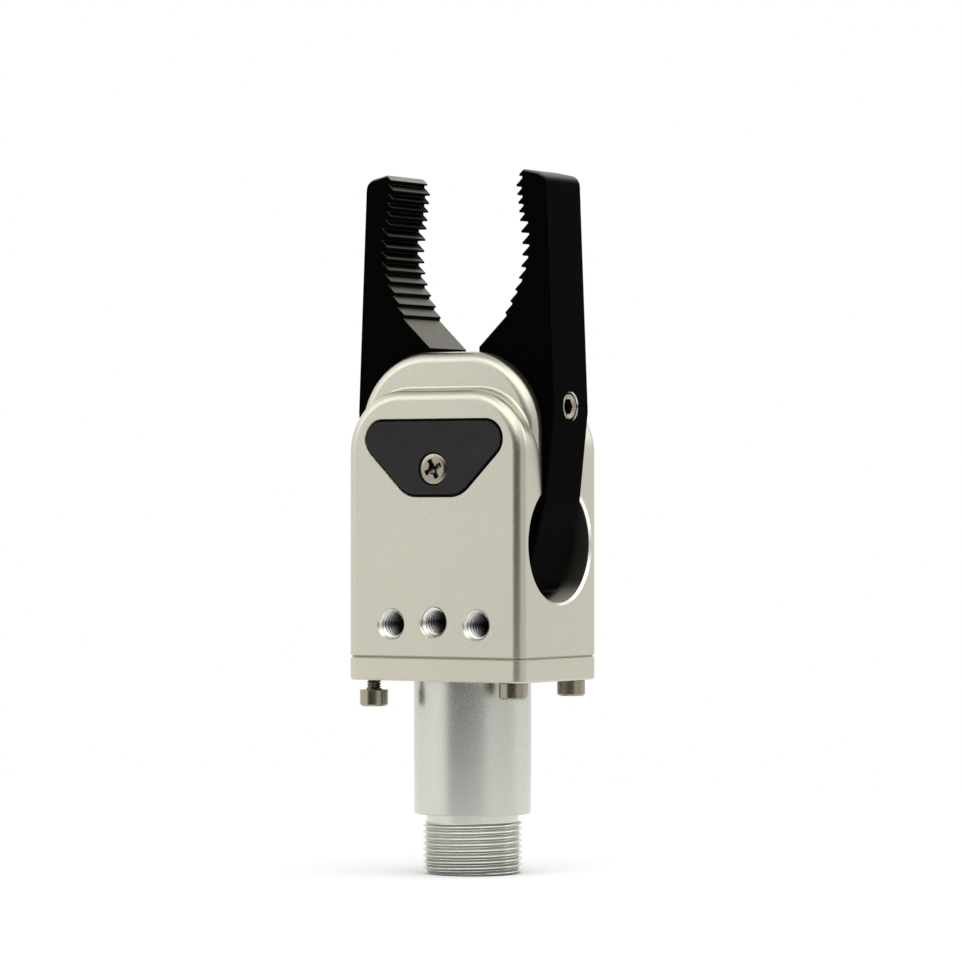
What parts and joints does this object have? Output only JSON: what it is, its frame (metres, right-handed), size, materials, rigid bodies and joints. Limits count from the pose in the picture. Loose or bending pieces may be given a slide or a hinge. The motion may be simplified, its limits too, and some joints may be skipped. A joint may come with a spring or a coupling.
{
  "type": "pneumatic mini gripper",
  "caption": "Small air-driven gripper: two black toothed jaws on pins in an arched light metal housing with a round clamping shank.",
  "frame": {"origin": "on the shank's axis at the underside of the base plate", "axes": "+Z along the shank towards the jaw tips, X along the direction in which the jaws open, front face with the cover towards -Y"},
  "size_m": [0.0392, 0.025, 0.1191],
  "materials": {
    "anodised_aluminium": "satin clear anodised",
    "shank_aluminium": "turned, clear anodised",
    "black_steel": "black oxide, satin, worn lighter on the teeth",
    "dark_cover": "dark grey, matt",
    "nickel_screw": "nickel plated, slightly warm",
    "ground_steel": "ground and hardened",
    "spring_wire": "drawn wire",
    "bronze": "sintered bronze",
    "piston_aluminium": "turned",
    "seal_rubber": "soft, matt"
  },
  "bodies": {
    "gripper_body": {"housing": "anodised_aluminium", "base_plate": "anodised_aluminium", "base_screws": "nickel_screw", "pin_cover": "dark_cover", "cover_screw": "nickel_screw", "cylinder_barrel": "shank_aluminium", "barrel_seal": "seal_rubber", "end_plug": "shank_aluminium", "end_plug_seal": "seal_rubber", "guide_bush": "bronze", "rod_seal": "seal_rubber", "left_pivot_pin": "ground_steel", "right_pivot_pin": "ground_steel", "return_spring": "spring_wire", "jaw_spring": "spring_wire"},
    "right_jaw_unit": {"right_jaw": "black_steel", "right_pivot_bush": "bronze", "right_spring_screw": "nickel_screw"},
    "left_jaw_unit": {"left_jaw": "black_steel", "left_pivot_bush": "bronze", "left_spring_screw": "nickel_screw"},
    "piston_unit": {"piston": "piston_aluminium", "piston_seal": "seal_rubber", "piston_nut": "ground_steel", "piston_rod": "ground_steel", "spreader_head": "ground_steel"}
  },
  "joints": [
    {"name": "right_jaw_hinge", "type": "hinge", "parent": "gripper_body", "child": "right_jaw_unit", "pos_m": [0.01, 0, 0.0408], "axis": [0, -1, 0], "range_deg": [0, 16.5], "stiffness_Nm_per_rad": 0.06, "springref_deg": -17.19, "deforming": ["jaw_spring"]},
    {"name": "left_jaw_hinge", "type": "hinge", "parent": "gripper_body", "child": "left_jaw_unit", "pos_m": [-0.01, 0, 0.0408], "axis": [0, 1, 0], "range_deg": [0, 16.5]},
    {"name": "piston_slide", "type": "slide", "parent": "gripper_body", "child": "piston_unit", "axis": [0, 0, 1], "range_m": [0, 0.01], "deforming": ["return_spring"]}
  ],
  "couplings": [
    {"joint": "left_jaw_hinge", "follows": "right_jaw_hinge", "ratio": 1},
    {"joint": "piston_slide", "follows": "right_jaw_hinge", "m_per_rad": 0.034725}
  ]
}
